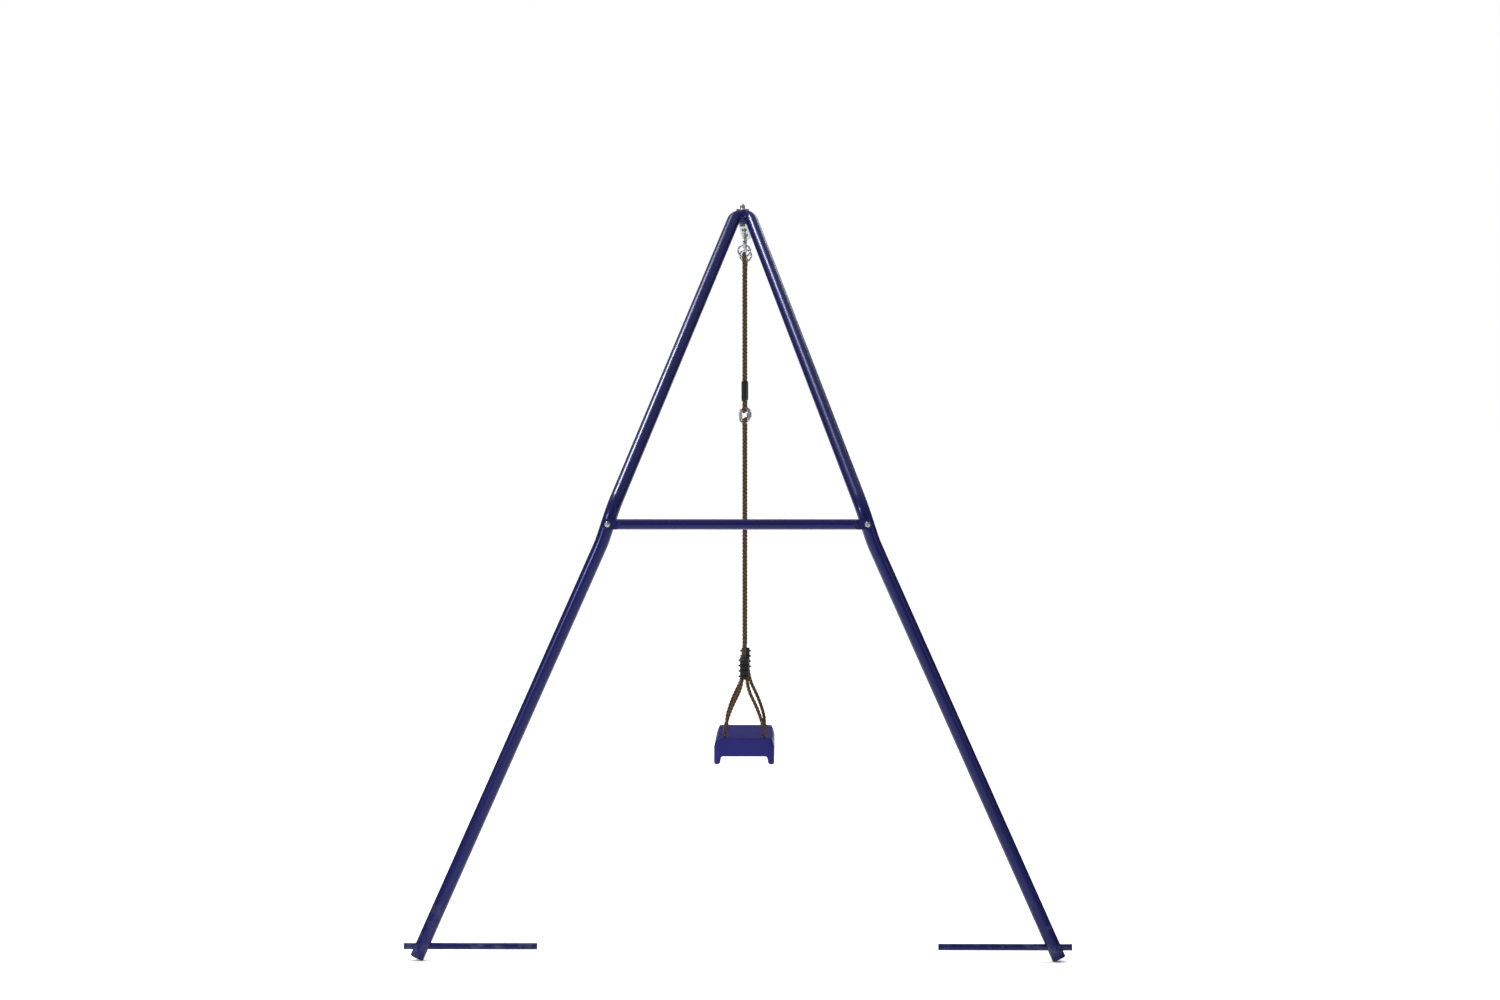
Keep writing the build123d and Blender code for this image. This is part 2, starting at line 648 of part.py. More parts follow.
# ---- Seat ----
with BuildPart() as seat:
    half = seat_width / 2
    bottom = seat_top - seat_depth
    with BuildSketch(Plane((0, seat_y, 0), x_dir=(1, 0, 0), z_dir=(0, -1, 0))) as outline:
        with BuildLine():
            Polyline(
                (-half, bottom),
                (-half, seat_top - seat_shoulder),
                (-half + seat_draft, seat_top),
                (half - seat_draft, seat_top),
                (half, seat_top - seat_shoulder),
                (half, bottom),
                close=True,
            )
        make_face()
        fillet(outline.vertices().group_by(Axis.Y)[-1], seat_corner)
    extrude(amount=seat_length / 2, both=True)
    fillet(seat.edges().filter_by(Axis.Z), seat_end_corner)
    inner_half = half - seat_flange
    with BuildSketch(Plane.XY.offset(seat_top - seat_plate)):
        with Locations((0, seat_y)):
            RectangleRounded(2 * inner_half, seat_length - 2 * seat_end_wall, seat_end_wall)
    extrude(amount=-seat_depth, mode=Mode.SUBTRACT)
    with BuildSketch(Plane((0, seat_y, 0), x_dir=(1, 0, 0), z_dir=(0, -1, 0))):
        with BuildLine():
            low = bottom - cut_margin
            Polyline(
                (-inner_half, seat_top - seat_end_depth),
                (inner_half, seat_top - seat_end_depth),
                (half - seat_lip, low),
                (-half + seat_lip, low),
                close=True,
            )
        make_face()
    extrude(amount=seat_length, both=True, mode=Mode.SUBTRACT)
    for y in rope_y.values():
        for x in (-hole_half_spread, hole_half_spread):
            with Locations((x, y, seat_top)):
                Cylinder(seat_hole_radius, 3 * seat_plate, mode=Mode.SUBTRACT)
save(seat.part, "seat")
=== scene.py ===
"""Ropes, moulded pieces and finishes for a one-seat rope swing on a steel A-frame."""

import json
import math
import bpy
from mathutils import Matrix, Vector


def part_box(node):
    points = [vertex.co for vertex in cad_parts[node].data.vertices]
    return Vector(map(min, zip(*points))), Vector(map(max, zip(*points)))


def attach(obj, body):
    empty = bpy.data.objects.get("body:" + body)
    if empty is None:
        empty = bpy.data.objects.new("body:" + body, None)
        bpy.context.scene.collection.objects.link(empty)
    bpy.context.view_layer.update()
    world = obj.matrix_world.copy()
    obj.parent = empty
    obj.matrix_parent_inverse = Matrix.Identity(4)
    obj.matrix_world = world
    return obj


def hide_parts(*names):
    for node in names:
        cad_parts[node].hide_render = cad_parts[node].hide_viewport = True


bl_info = {
    "name": "Rope Swing",
    "version": (1, 0, 0),
    "blender": (4, 5, 0),
    "location": "View3D > Sidebar > Swing",
    "description": "Laid ropes, grips, seat and finishes for a rope swing on a steel A-frame",
    "category": "Object",
}

import bpy
from bpy.props import FloatProperty, FloatVectorProperty, IntProperty, PointerProperty
from mathutils import Vector

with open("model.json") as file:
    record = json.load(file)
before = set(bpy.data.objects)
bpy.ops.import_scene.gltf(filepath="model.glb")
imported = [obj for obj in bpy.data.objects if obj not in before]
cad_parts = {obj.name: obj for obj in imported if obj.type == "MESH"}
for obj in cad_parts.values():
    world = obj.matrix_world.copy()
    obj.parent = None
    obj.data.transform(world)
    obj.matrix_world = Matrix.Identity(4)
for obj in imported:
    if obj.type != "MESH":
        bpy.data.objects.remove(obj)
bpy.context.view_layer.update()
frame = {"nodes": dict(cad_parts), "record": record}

# ---- Rope routes, the same points as the CAD ropes, in metres ----
ROPE_Y = {"near": 0.29025, "far": 0.64025}
EYE_RADIUS = 0.013
TOP_EYE_Z = 1.9481
TOP_THROAT = 0.045
LOW_EYE_Z = 1.4830
LOW_THROAT = 0.026
SECOND_EYE_Z = 1.4306
SECOND_THROAT = 0.040
CLAMP_TOP = 0.704
STRAND = [(0.0063, 0.612), (0.041, 0.543), (0.0595, 0.487), (0.061, 0.466), (0.061, 0.446)]
LOOP = [(0.061, 0.4397), (0.061, 0.4267), (0.048, 0.4267)]
STRAIGHT_END = 0.072      # from an eye to the first point of a straight stretch

SEAT_PLATE = 0.010
SEAT_FLANGE = 0.023
SEAT_END_WALL = 0.009
SEAT_END_DEPTH = 0.058
SEAT_LIP = 0.020
SEAT_TIP = 0.006
SEAT_DRAFT = 0.008
SEAT_SHOULDER = 0.028
SEAT_CORNER = 0.017
SEAT_END_CORNER = 0.014
SEAT_INNER_ROUND = 0.006
SEAT_HOLE_CUT = 0.0080    # 0.4 mm over the hole, for the smoothing
SEAT_HOLE_DEPTH = 0.06
SEAT_HOLE_X = 0.061
CUT_PAST_END = 0.01
CUT_PAST_FLOOR = 0.02

RIB_HALF = 0.002
RIB_DEPTH = 0.012
RIB_SUNK = 0.002          # into the seat's plate
RIB_SUNK_END = 0.005      # into its end walls
RIB_SUNK_SIDE = 0.004     # into its flanges
RIB_SPACING_ACROSS = 0.035
RIB_SPACING_ALONG = 0.06

GRIP_CORE = 0.0132, 0.0088     # half width and half depth between the fins
GRIP_FINS = 4
GRIP_FIN_PITCH = 0.0168

WELD_RADIUS = 0.0021
RIPPLE = 0.0012
RIPPLE_HEIGHT = 0.16      # share of the bead's radius

VIEW_PLACE = (0.1273, -9.49225, 1.5494)
VIEW_YAW = 0.639          # degrees to the left
VIEW_PITCH = 2.08         # degrees down

# name, place, target, power and size
LIGHTS = (
    ("key", (-4.6, -4.8, 2.9), (-0.3, -1.0, 0.8), 190.0, 0.9),
    ("over", (-2.4, 1.2, 7.0), (0, -0.5, 1.6), 260.0, 1.2),
    ("fill", (5.5, -5.0, 2.5), (0, 0, 1.0), 25.0, 2.0),
    ("back", (2.5, 6.0, 5.5), (0, 0.3, 1.2), 60.0, 2.0),
)


class SwingSizes(bpy.types.PropertyGroup):
    """Sizes of the pieces that dress the frame."""

    rope_diameter: FloatProperty(
        name="Rope diameter", description="Thickness of the laid rope", default=0.012, unit="LENGTH"
    )
    rope_lay: FloatProperty(
        name="Rope lay", description="Length of one full turn of a strand", default=0.0345, unit="LENGTH"
    )
    rope_step: FloatProperty(
        name="Rope step", description="Distance between rings of the rope's mesh", default=0.0012, unit="LENGTH"
    )
    rope_strands: IntProperty(name="Strands", description="Strands laid into the rope", default=3)
    seat_voxel: FloatProperty(
        name="Seat grain", description="Mesh size of the moulded seat", default=0.0022, unit="LENGTH"
    )
    lens: FloatProperty(name="Lens", description="Focal length of the view", default=75.34, unit="CAMERA")


def colour_property(name, description, default):
    """One colour that a user may change."""
    return FloatVectorProperty(
        name=name, description=description, default=default, size=4, subtype="COLOR", min=0.0, max=1.0
    )


class SwingColours(bpy.types.PropertyGroup):
    """Base colours of the finishes."""

    powder: colour_property("Powder coat", "Navy coat of the frame", (0.0040, 0.0048, 0.046, 1))
    plug: colour_property("Plugs", "End plugs of the tubes", (0.012, 0.013, 0.035, 1))
    beam: colour_property("Galvanising", "Hot-dipped beam", (0.40, 0.42, 0.43, 1))
    zinc: colour_property("Zinc", "Plated fasteners, rings and links", (0.36, 0.37, 0.38, 1))
    rope_brown: colour_property("Rope brown", "Darker yarn of the rope", (0.062, 0.027, 0.009, 1))
    rope_olive: colour_property("Rope olive", "Lighter yarn of the rope", (0.064, 0.045, 0.016, 1))
    sleeve: colour_property("Grips", "Moulded grips and sleeves", (0.007, 0.009, 0.0085, 1))
    seat: colour_property("Seat", "Moulded seat", (0.0085, 0.0085, 0.098, 1))
    floor: colour_property("Floor", "Plain pale floor", (0.94, 0.94, 0.94, 1))


# ---- Material helpers ----
def add_node(tree, kind, values=None, links=None, **settings):
    """Adds a node, sets its own sockets and links others into it."""
    node = tree.nodes.new(kind)
    for key, value in settings.items():
        setattr(node, key, value)
    for socket, value in (values or {}).items():
        node.inputs[socket].default_value = value
    for socket, source in (links or {}).items():
        tree.links.new(source, node.inputs[socket])
    return node


def start_material(name):
    """New material with its node tree, shader and object coordinates."""
    material = bpy.data.materials.new(name)
    material.use_nodes = True
    tree = material.node_tree
    shader = tree.nodes["Principled BSDF"]
    place = tree.nodes.new("ShaderNodeTexCoord").outputs["Object"]
    return material, tree, shader, place


def ramp(tree, source, stops):
    """Colour ramp over a factor, from (place, colour) stops."""
    node = add_node(tree, "ShaderNodeValToRGB", links={"Fac": source})
    elements = node.color_ramp.elements
    while len(elements) < len(stops):
        elements.new(0.5)
    for element, (place, colour) in zip(elements, stops):
        element.position = place
        element.color = colour
    return node.outputs["Color"]


def ranged(tree, source, low, high, start=0.0, end=1.0):
    """Factor stretched from start..end to low..high."""
    values = {"From Min": start, "From Max": end, "To Min": low, "To Max": high}
    node = add_node(tree, "ShaderNodeMapRange", values, {"Value": source})
    return node.outputs["Result"]


def noise(tree, place, scale, detail=4.0, roughness=0.55):
    """Noise factor at a scale in features per metre."""
    values = {"Scale": scale, "Detail": detail, "Roughness": roughness}
    return add_node(tree, "ShaderNodeTexNoise", values, {"Vector": place}).outputs["Fac"]


def mixed(tree, factor, first, second):
    """Two colours mixed by a factor."""
    node = tree.nodes.new("ShaderNodeMix")
    node.data_type = "RGBA"
    tree.links.new(factor, node.inputs["Factor"])
    for socket, colour in ((node.inputs[6], first), (node.inputs[7], second)):
        if isinstance(colour, bpy.types.NodeSocket):
            tree.links.new(colour, socket)
        else:
            socket.default_value = colour
    return node.outputs[2]


def bumped(tree, height, distance, strength=1.0, below=None):
    """Bump of a height in metres, on top of another one."""
    links = {"Height": height}
    if below:
        links["Normal"] = below
    values = {"Distance": distance, "Strength": strength}
    return add_node(tree, "ShaderNodeBump", values, links).outputs["Normal"]


def shade(colour, factor):
    """Colour made lighter or darker."""
    return (*(min(1.0, c * factor) for c in colour[:3]), 1.0)


def greyed(colour, share, grey=0.30):
    """Colour faded towards grey by a share."""
    return (*(c * (1 - share) + grey * share for c in colour[:3]), 1.0)


# ---- Materials ----
def powder_coat(colour):
    """Glossy navy powder coat with orange peel, dust near the ground and light scuffs."""
    material, tree, shader, place = start_material("navy_powder_coat")
    tone = ramp(tree, noise(tree, place, 3.0), [(0.35, shade(colour, 0.88)), (0.65, shade(colour, 1.14))])
    height = add_node(tree, "ShaderNodeSeparateXYZ", links={0: place}).outputs["Z"]
    near_ground = ranged(tree, height, 1.0, 0.0, 0.0, 0.22)
    splash = ranged(tree, noise(tree, place, 26.0, 8.0, 0.7), 0.0, 1.0, 0.5, 0.78)
    dust_node = add_node(tree, "ShaderNodeMath", {}, {0: near_ground, 1: splash}, operation="MULTIPLY")
    dust = dust_node.outputs[0]
    dusty = mixed(tree, ranged(tree, dust, 0.0, 0.42), tone, greyed(colour, 0.55))
    stretched = add_node(tree, "ShaderNodeMapping", {"Scale": (1.0, 1.0, 0.12)}, {"Vector": place})
    scratch = noise(tree, stretched.outputs[0], 320.0, 6.0, 0.75)
    worn = ranged(tree, scratch, 0.0, 0.35, 0.71, 0.80)
    tree.links.new(mixed(tree, worn, dusty, greyed(colour, 0.35)), shader.inputs["Base Color"])
    smear = noise(tree, place, 14.0, 6.0)
    gloss = add_node(tree, "ShaderNodeMath", {}, {0: dust, 1: ranged(tree, smear, 0.24, 0.38)}, operation="ADD")
    tree.links.new(ranged(tree, gloss.outputs[0], 0.22, 0.85, 0.22, 1.1), shader.inputs["Roughness"])
    peel = bumped(tree, noise(tree, place, 420.0, 2.0), 0.00012, 0.5)
    grain = bumped(tree, noise(tree, place, 2200.0, 2.0), 0.00003, 0.4, peel)
    tree.links.new(grain, shader.inputs["Normal"])
    shader.inputs["Specular IOR Level"].default_value = 0.35
    shader.inputs["Specular Tint"].default_value = (0.42, 0.46, 1.0, 1.0)
    shader.inputs["Coat Weight"].default_value = 0.08
    shader.inputs["Coat Roughness"].default_value = 0.08
    return material


def moulded(colour, rough_low, rough_high, grain_scale, grain_depth, wear):
    """Moulded plastic with a fine grain, uneven gloss, flow marks and pale scuffs."""
    material, tree, shader, place = start_material("moulded plastic")
    tone = ramp(tree, noise(tree, place, 7.0, 3.0), [(0.3, shade(colour, 0.86)), (0.7, shade(colour, 1.16))])
    scuffs = noise(tree, place, 85.0, 10.0, 0.72)
    worn = ranged(tree, scuffs, 0.0, wear, 0.60, 0.80)
    tree.links.new(mixed(tree, worn, tone, greyed(colour, 0.45)), shader.inputs["Base Color"])
    gloss = noise(tree, place, 30.0, 6.0, 0.65)
    tree.links.new(ranged(tree, gloss, rough_low, rough_high, 0.3, 0.7), shader.inputs["Roughness"])
    grain = bumped(tree, noise(tree, place, grain_scale, 3.0), grain_depth, 0.6)
    flow = add_node(tree, "ShaderNodeMapping", {"Scale": (1.0, 0.15, 1.0)}, {"Vector": place})
    flow_marks = bumped(tree, noise(tree, flow.outputs[0], 40.0, 3.0), 0.0002, 0.25, grain)
    tree.links.new(flow_marks, shader.inputs["Normal"])
    shader.inputs["Specular IOR Level"].default_value = 0.16
    return material


def galvanised(colour):
    """Hot-dipped zinc with crystals, dull streaks and white bloom."""
    material, tree, shader, place = start_material("galvanised_beam")
    cells = add_node(tree, "ShaderNodeTexVoronoi", {"Scale": 130.0, "Randomness": 1.0}, {"Vector": place})
    facet = add_node(tree, "ShaderNodeSeparateColor", links={0: cells.outputs["Color"]}).outputs[0]
    spangle = ramp(tree, facet, [(0.0, shade(colour, 0.72)), (1.0, shade(colour, 1.12))])
    bloom = ranged(tree, noise(tree, place, 18.0, 9.0, 0.68), 0.0, 0.6, 0.52, 0.75)
    tree.links.new(mixed(tree, bloom, spangle, (0.62, 0.63, 0.62, 1)), shader.inputs["Base Color"])
    tree.links.new(ranged(tree, facet, 0.30, 0.55), shader.inputs["Roughness"])
    tree.links.new(ranged(tree, bloom, 0.95, 0.35), shader.inputs["Metallic"])
    runs = bumped(tree, noise(tree, place, 60.0, 4.0), 0.0004, 0.35)
    tree.links.new(bumped(tree, facet, 0.00006, 0.35, runs), shader.inputs["Normal"])
    return material


def zinc_plate(colour):
    """Bright zinc plate with fine scratches and dull patches."""
    material, tree, shader, place = start_material("zinc_hardware")
    patches = noise(tree, place, 90.0, 7.0, 0.66)
    tone = ramp(tree, patches, [(0.30, shade(colour, 0.62)), (0.55, colour), (0.8, shade(colour, 1.15))])
    tree.links.new(tone, shader.inputs["Base Color"])
    tree.links.new(ranged(tree, patches, 0.42, 0.20, 0.3, 0.7), shader.inputs["Roughness"])
    drawn = add_node(tree, "ShaderNodeMapping", {"Scale": (1.0, 1.0, 0.08)}, {"Vector": place})
    lines = bumped(tree, noise(tree, drawn.outputs[0], 1500.0, 3.0), 0.00003, 0.5)
    dents = bumped(tree, noise(tree, place, 220.0, 2.0), 0.0001, 0.4, lines)
    tree.links.new(dents, shader.inputs["Normal"])
    shader.inputs["Metallic"].default_value = 1.0
    return material


def laid_fibre(brown, olive):
    """Twisted yarn with painted shade in its grooves: the UV runs along a strand in U and across it in V."""
    material, tree, shader, place = start_material("brown_rope")
    along = tree.nodes.new("ShaderNodeUVMap").outputs["UV"]
    bands = add_node(
        tree,
        "ShaderNodeTexWave",
        {"Scale": 0.5, "Distortion": 0.6, "Detail": 2.0, "Detail Scale": 1.5},
        {"Vector": along},
        wave_type="BANDS",
        bands_direction="DIAGONAL",
    ).outputs["Fac"]
    patches = noise(tree, place, 28.0, 5.0, 0.6)
    yarn = noise(tree, along, 1.6, 3.0)
    base = mixed(tree, ranged(tree, patches, 0.0, 1.0, 0.38, 0.62), brown, olive)
    lighter = mixed(tree, ranged(tree, yarn, 0.0, 0.6, 0.5, 0.8), base, shade(olive, 1.9))
    # painted shade: the grooves between yarns, where the bands bump sits low, are darkened to 0.45 of the brown
    painted_groove_shade = mixed(tree, ranged(tree, bands, 0.0, 1.0, 0.0, 0.45), shade(brown, 0.45), lighter)
    tree.links.new(painted_groove_shade, shader.inputs["Base Color"])
    tree.links.new(ranged(tree, patches, 0.62, 0.86), shader.inputs["Roughness"])
    fuzz = bumped(tree, noise(tree, place, 2600.0, 3.0), 0.00012, 0.5)
    tree.links.new(bumped(tree, bands, 0.0005, 0.8, fuzz), shader.inputs["Normal"])
    shader.inputs["Specular IOR Level"].default_value = 0.2
    shader.inputs["Sheen Weight"].default_value = 0.06
    shader.inputs["Sheen Roughness"].default_value = 0.5
    return material


def plain_floor(colour):
    """Plain pale floor."""
    material, tree, shader, place = start_material("pale_floor")
    tone = ramp(tree, noise(tree, place, 0.4, 2.0), [(0.3, shade(colour, 0.99)), (0.7, shade(colour, 1.01))])
    tree.links.new(tone, shader.inputs["Base Color"])
    shader.inputs["Roughness"].default_value = 0.9
    return material


def finish(slot, colours):
    """The finish of one of the record's slots, made on first use."""
    name = f"{slot} finish"
    if name in bpy.data.materials:
        return bpy.data.materials[name]
    if slot == "navy_powder_coat":
        material = powder_coat(colours.powder)
    elif slot == "dark_plug":
        material = moulded(colours.plug, 0.45, 0.65, 900.0, 0.0001, 0.3)
    elif slot == "galvanised_beam":
        material = galvanised(colours.beam)
    elif slot == "zinc_hardware":
        material = zinc_plate(colours.zinc)
    elif slot == "brown_rope":
        material = laid_fibre(colours.rope_brown, colours.rope_olive)
    elif slot == "black_sleeve":
        material = moulded(colours.sleeve, 0.42, 0.62, 700.0, 0.00015, 0.10)
    elif slot == "blue_plastic":
        material = moulded(colours.seat, 0.26, 0.44, 1100.0, 0.00006, 0.10)
    else:
        raise RuntimeError(f"no finish is written for {slot}")
    material.name = name
    return material


def dress(piece, slot, body, *nodes):
    """Gives a finished piece its material, body and the CAD nodes that it stands for."""
    colours = bpy.context.scene.swing_colours
    piece.data.materials.clear()
    piece.data.materials.append(finish(slot, colours))
    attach(piece, body)
    if nodes:
        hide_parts(*nodes)
    return piece


# ---- Rope geometry ----
def eye_points(y, centre_z, throat, way):
    """Corners of a rope eye; way is 1 for an eye at a rope's top and -1 at its foot."""
    opening = math.asin(EYE_RADIUS / throat)
    turn = (math.pi + 2 * opening) / 4
    far = EYE_RADIUS / math.cos(turn / 2)
    angles = [math.pi + opening - turn * (k + 0.5) for k in range(4)]
    return [(0, y + far * math.cos(a), centre_z + way * far * math.sin(a)) for a in angles]


def upper_route(y):
    """Eye in the top ring, straight fall, and eye in the link."""
    splice = (0, y, TOP_EYE_Z - TOP_THROAT)
    low_splice = (0, y, LOW_EYE_Z + LOW_THROAT)
    top_eye = eye_points(y, TOP_EYE_Z, TOP_THROAT, 1)
    low_eye = eye_points(y, LOW_EYE_Z, LOW_THROAT, -1)
    straight = [(0, y, splice[2] - STRAIGHT_END), (0, y, low_splice[2] + STRAIGHT_END)]
    return [splice, *top_eye, splice, *straight, low_splice, *reversed(low_eye), low_splice]


def lower_route(y):
    """Eye in the link, straight fall, through the grip and down the left side to the seat."""
    splice = (0, y, SECOND_EYE_Z - SECOND_THROAT)
    entry = (0, y, CLAMP_TOP + 0.008)
    straight = [(0, y, splice[2] - STRAIGHT_END), (0, y, entry[2] + 0.034), entry]
    inside = (-STRAND[0][0], y, CLAMP_TOP - 0.026)
    left = [(-x, y, z) for x, z in STRAND]
    return [splice, *eye_points(y, SECOND_EYE_Z, SECOND_THROAT, 1), splice, *straight, inside, *left]


def right_route(y):
    """From inside the grip down the right side to the seat."""
    return [(STRAND[0][0], y, CLAMP_TOP - 0.030), *((x, y, z) for x, z in STRAND)]


def loop_route(y):
    """Under the seat from one hole to the other."""
    return [(-x, y, z) for x, z in LOOP] + [(x, y, z) for x, z in reversed(LOOP)]


def smooth_line(points, name):
    """Points read from the NURBS line of a route."""
    curve = bpy.data.curves.new(name, "CURVE")
    curve.dimensions = "3D"
    curve.resolution_u = 24
    spline = curve.splines.new("NURBS")
    spline.points.add(len(points) - 1)
    for control, point in zip(spline.points, points):
        control.co = (*point, 1.0)
    spline.order_u = 3
    spline.use_endpoint_u = True
    holder = bpy.data.objects.new(name, curve)
    mesh = bpy.data.meshes.new_from_object(holder)
    line = [vertex.co.copy() for vertex in mesh.vertices]
    bpy.data.objects.remove(holder)
    bpy.data.meshes.remove(mesh)
    bpy.data.curves.remove(curve)
    return line


def evenly(line, step):
    """The same line with points a step apart."""
    far = [0.0]
    for a, b in zip(line, line[1:]):
        far.append(far[-1] + (b - a).length)
    count = max(2, round(far[-1] / step))
    out = []
    i = 0
    for k in range(count + 1):
        want = far[-1] * k / count
        while i < len(line) - 2 and far[i + 1] < want:
            i += 1
        span = max(far[i + 1] - far[i], 1e-12)
        out.append(line[i].lerp(line[i + 1], (want - far[i]) / span))
    return out, far[-1]


def laid_rope(name, route, sizes, tapered_ends):
    """Rope of laid strands along a route: a lobed section that turns once for each lay."""
    line, length = evenly(smooth_line(route, name), sizes.rope_step)
    radius = sizes.rope_diameter / 2
    around = 10
    widest = math.pi / sizes.rope_strands
    lobe = []
    for strand in range(sizes.rope_strands):
        for k in range(around):
            across = (k / around - 0.5) * 2 * widest
            lobe.append((2 * widest * strand + across, math.cos(across), strand + k / around))
    taper = 1.6 * sizes.rope_diameter
    vertices = []
    side = Vector((1, 0, 0))
    for i, point in enumerate(line):
        ahead = (line[min(i + 1, len(line) - 1)] - line[max(i - 1, 0)]).normalized()
        side = (side - ahead * side.dot(ahead)).normalized()
        third = ahead.cross(side)
        walked = length * i / (len(line) - 1)
        turn = 2 * math.pi * walked / sizes.rope_lay
        size = radius
        for end, from_end in zip(tapered_ends, (walked, length - walked)):
            if end:
                size *= min(1.0, 0.55 + 0.45 * from_end / taper)
            else:
                blunt = min(1.0, from_end / radius)
                size *= max(0.05, math.sqrt(max(0.0, 1 - (1 - blunt) ** 2)))
        for angle, share, _ in lobe:
            out = side * math.cos(angle + turn) + third * math.sin(angle + turn)
            vertices.append(point + out * size * share)
    rows = len(line)
    columns = len(lobe)
    faces = []
    for i in range(rows - 1):
        for k in range(columns):
            after = (k + 1) % columns
            here, above = i * columns, (i + 1) * columns
            faces.append((here + k, here + after, above + after, above + k))
    faces.append(tuple(reversed(range(columns))))
    faces.append(tuple((rows - 1) * columns + k for k in range(columns)))
    mesh = bpy.data.meshes.new(name)
    mesh.from_pydata(vertices, [], faces)
    uv = mesh.uv_layers.new(name="UVMap")
    run = length / (rows - 1) / sizes.rope_diameter * 2
    for polygon in mesh.polygons[: (rows - 1) * columns]:
        for loop_index in polygon.loop_indices:
            vertex = mesh.loops[loop_index].vertex_index
            row, column = divmod(vertex, columns)
            across = lobe[column][2]
            if column == 0 and polygon.index % columns == columns - 1:
                across = sizes.rope_strands
            uv.data[loop_index].uv = (row * run, across)
    mesh.polygons.foreach_set("use_smooth", [True] * len(mesh.polygons))
    mesh.validate()
    rope = bpy.data.objects.new(name, mesh)
    bpy.context.scene.collection.objects.link(rope)
    return rope, line


# ---- Modelling by hand ----
def deselect():
    """Leaves nothing selected and no object in edit mode."""
    if bpy.context.object and bpy.context.object.mode != "OBJECT":
        bpy.ops.object.mode_set(mode="OBJECT")
    bpy.ops.object.select_all(action="DESELECT")


def pick(obj, kind, test):
    """Selects the vertices, edges or faces whose centre passes a test, in edit mode."""
    bpy.ops.object.mode_set(mode="EDIT")
    bpy.ops.mesh.select_mode(type=kind)
    bpy.ops.mesh.select_all(action="DESELECT")
    bpy.ops.object.mode_set(mode="OBJECT")
    mesh = obj.data
    if kind == "VERT":
        for vertex in mesh.vertices:
            vertex.select = test(vertex.co)
    elif kind == "EDGE":
        for edge in mesh.edges:
            ends = [mesh.vertices[v].co for v in edge.vertices]
            edge.select = all(test(co) for co in ends)
    else:
        for face in mesh.polygons:
            face.select = test(face.center)
    bpy.ops.object.mode_set(mode="EDIT")


def settle(obj, name):
    """Names a piece and puts its place into its mesh."""
    deselect()
    obj.select_set(True)
    bpy.context.view_layer.objects.active = obj
    bpy.ops.object.transform_apply(location=True, rotation=True, scale=True)
    obj.name = name
    return obj


def apply_modifier(obj, kind, **settings):
    """Adds a modifier, sets it and applies it."""
    bpy.context.view_layer.objects.active = obj
    modifier = obj.modifiers.new(kind.title(), kind)
    for key, value in settings.items():
        setattr(modifier, key, value)
    bpy.ops.object.modifier_apply(modifier=modifier.name)


def drawn_up(name, centre, levels, around=40):
    """Solid drawn upward from an oval: levels are (height, half width, half depth)."""
    deselect()
    height, width, depth = levels[0]
    start = Vector(centre) + Vector((0, 0, height))
    bpy.ops.mesh.primitive_circle_add(vertices=around, radius=1.0, fill_type="NGON", location=start)
    piece = bpy.context.object
    bpy.ops.object.mode_set(mode="EDIT")
    bpy.ops.mesh.select_all(action="SELECT")
    bpy.ops.transform.resize(value=(width, depth, 1.0), center_override=start)
    for next_height, next_width, next_depth in levels[1:]:
        bpy.ops.mesh.extrude_region_move(TRANSFORM_OT_translate={"value": (0, 0, next_height - height)})
        middle = Vector(centre) + Vector((0, 0, next_height))
        grow = (next_width / width, next_depth / depth, 1.0)
        bpy.ops.transform.resize(value=grow, center_override=middle)
        height, width, depth = next_height, next_width, next_depth
    bpy.ops.mesh.select_all(action="SELECT")
    bpy.ops.mesh.normals_make_consistent(inside=False)
    bpy.ops.object.mode_set(mode="OBJECT")
    return settle(piece, name)


def block(name, low, high):
    """Box between two corners."""
    deselect()
    low, high = Vector(low), Vector(high)
    bpy.ops.mesh.primitive_cube_add(size=1.0, location=(low + high) / 2)
    piece = bpy.context.object
    piece.scale = high - low
    return settle(piece, name)


def cut(piece, tool):
    """Takes a tool's shape out of a piece and removes the tool."""
    apply_modifier(piece, "BOOLEAN", operation="DIFFERENCE", object=tool, solver="EXACT")
    bpy.data.objects.remove(tool)


def join_on(piece, other):
    """Adds another solid to a piece."""
    apply_modifier(piece, "BOOLEAN", operation="UNION", object=other, solver="EXACT")
    bpy.data.objects.remove(other)


# ---- Operators ----
class SWING_OT_ropes(bpy.types.Operator):
    """Lay the eight ropes along their routes"""

    bl_idname = "swing.ropes"
    bl_label = "Ropes"

    def execute(self, context):
        sizes = context.scene.swing_sizes
        for side, y in ROPE_Y.items():
            kinds = (
                ("upper_rope", upper_route(y), 0.615, (True, True), ["thimble", "link", "link_nut"]),
                ("lower_rope", lower_route(y), 1.077, (True, False), []),
                ("right_strand", right_route(y), 0.242, (True, False), []),
                ("seat_loop", loop_route(y), 0.137, (False, False), []),
            )
            for kind, route, length, tapered, going in kinds:
                name = f"{side}_{kind}"
                rope, line = laid_rope(f"{name}_laid", route, sizes, tapered)
                dress(rope, "brown_rope", "seat" if kind == "seat_loop" else f"{side}_ropes", name)
        return {"FINISHED"}


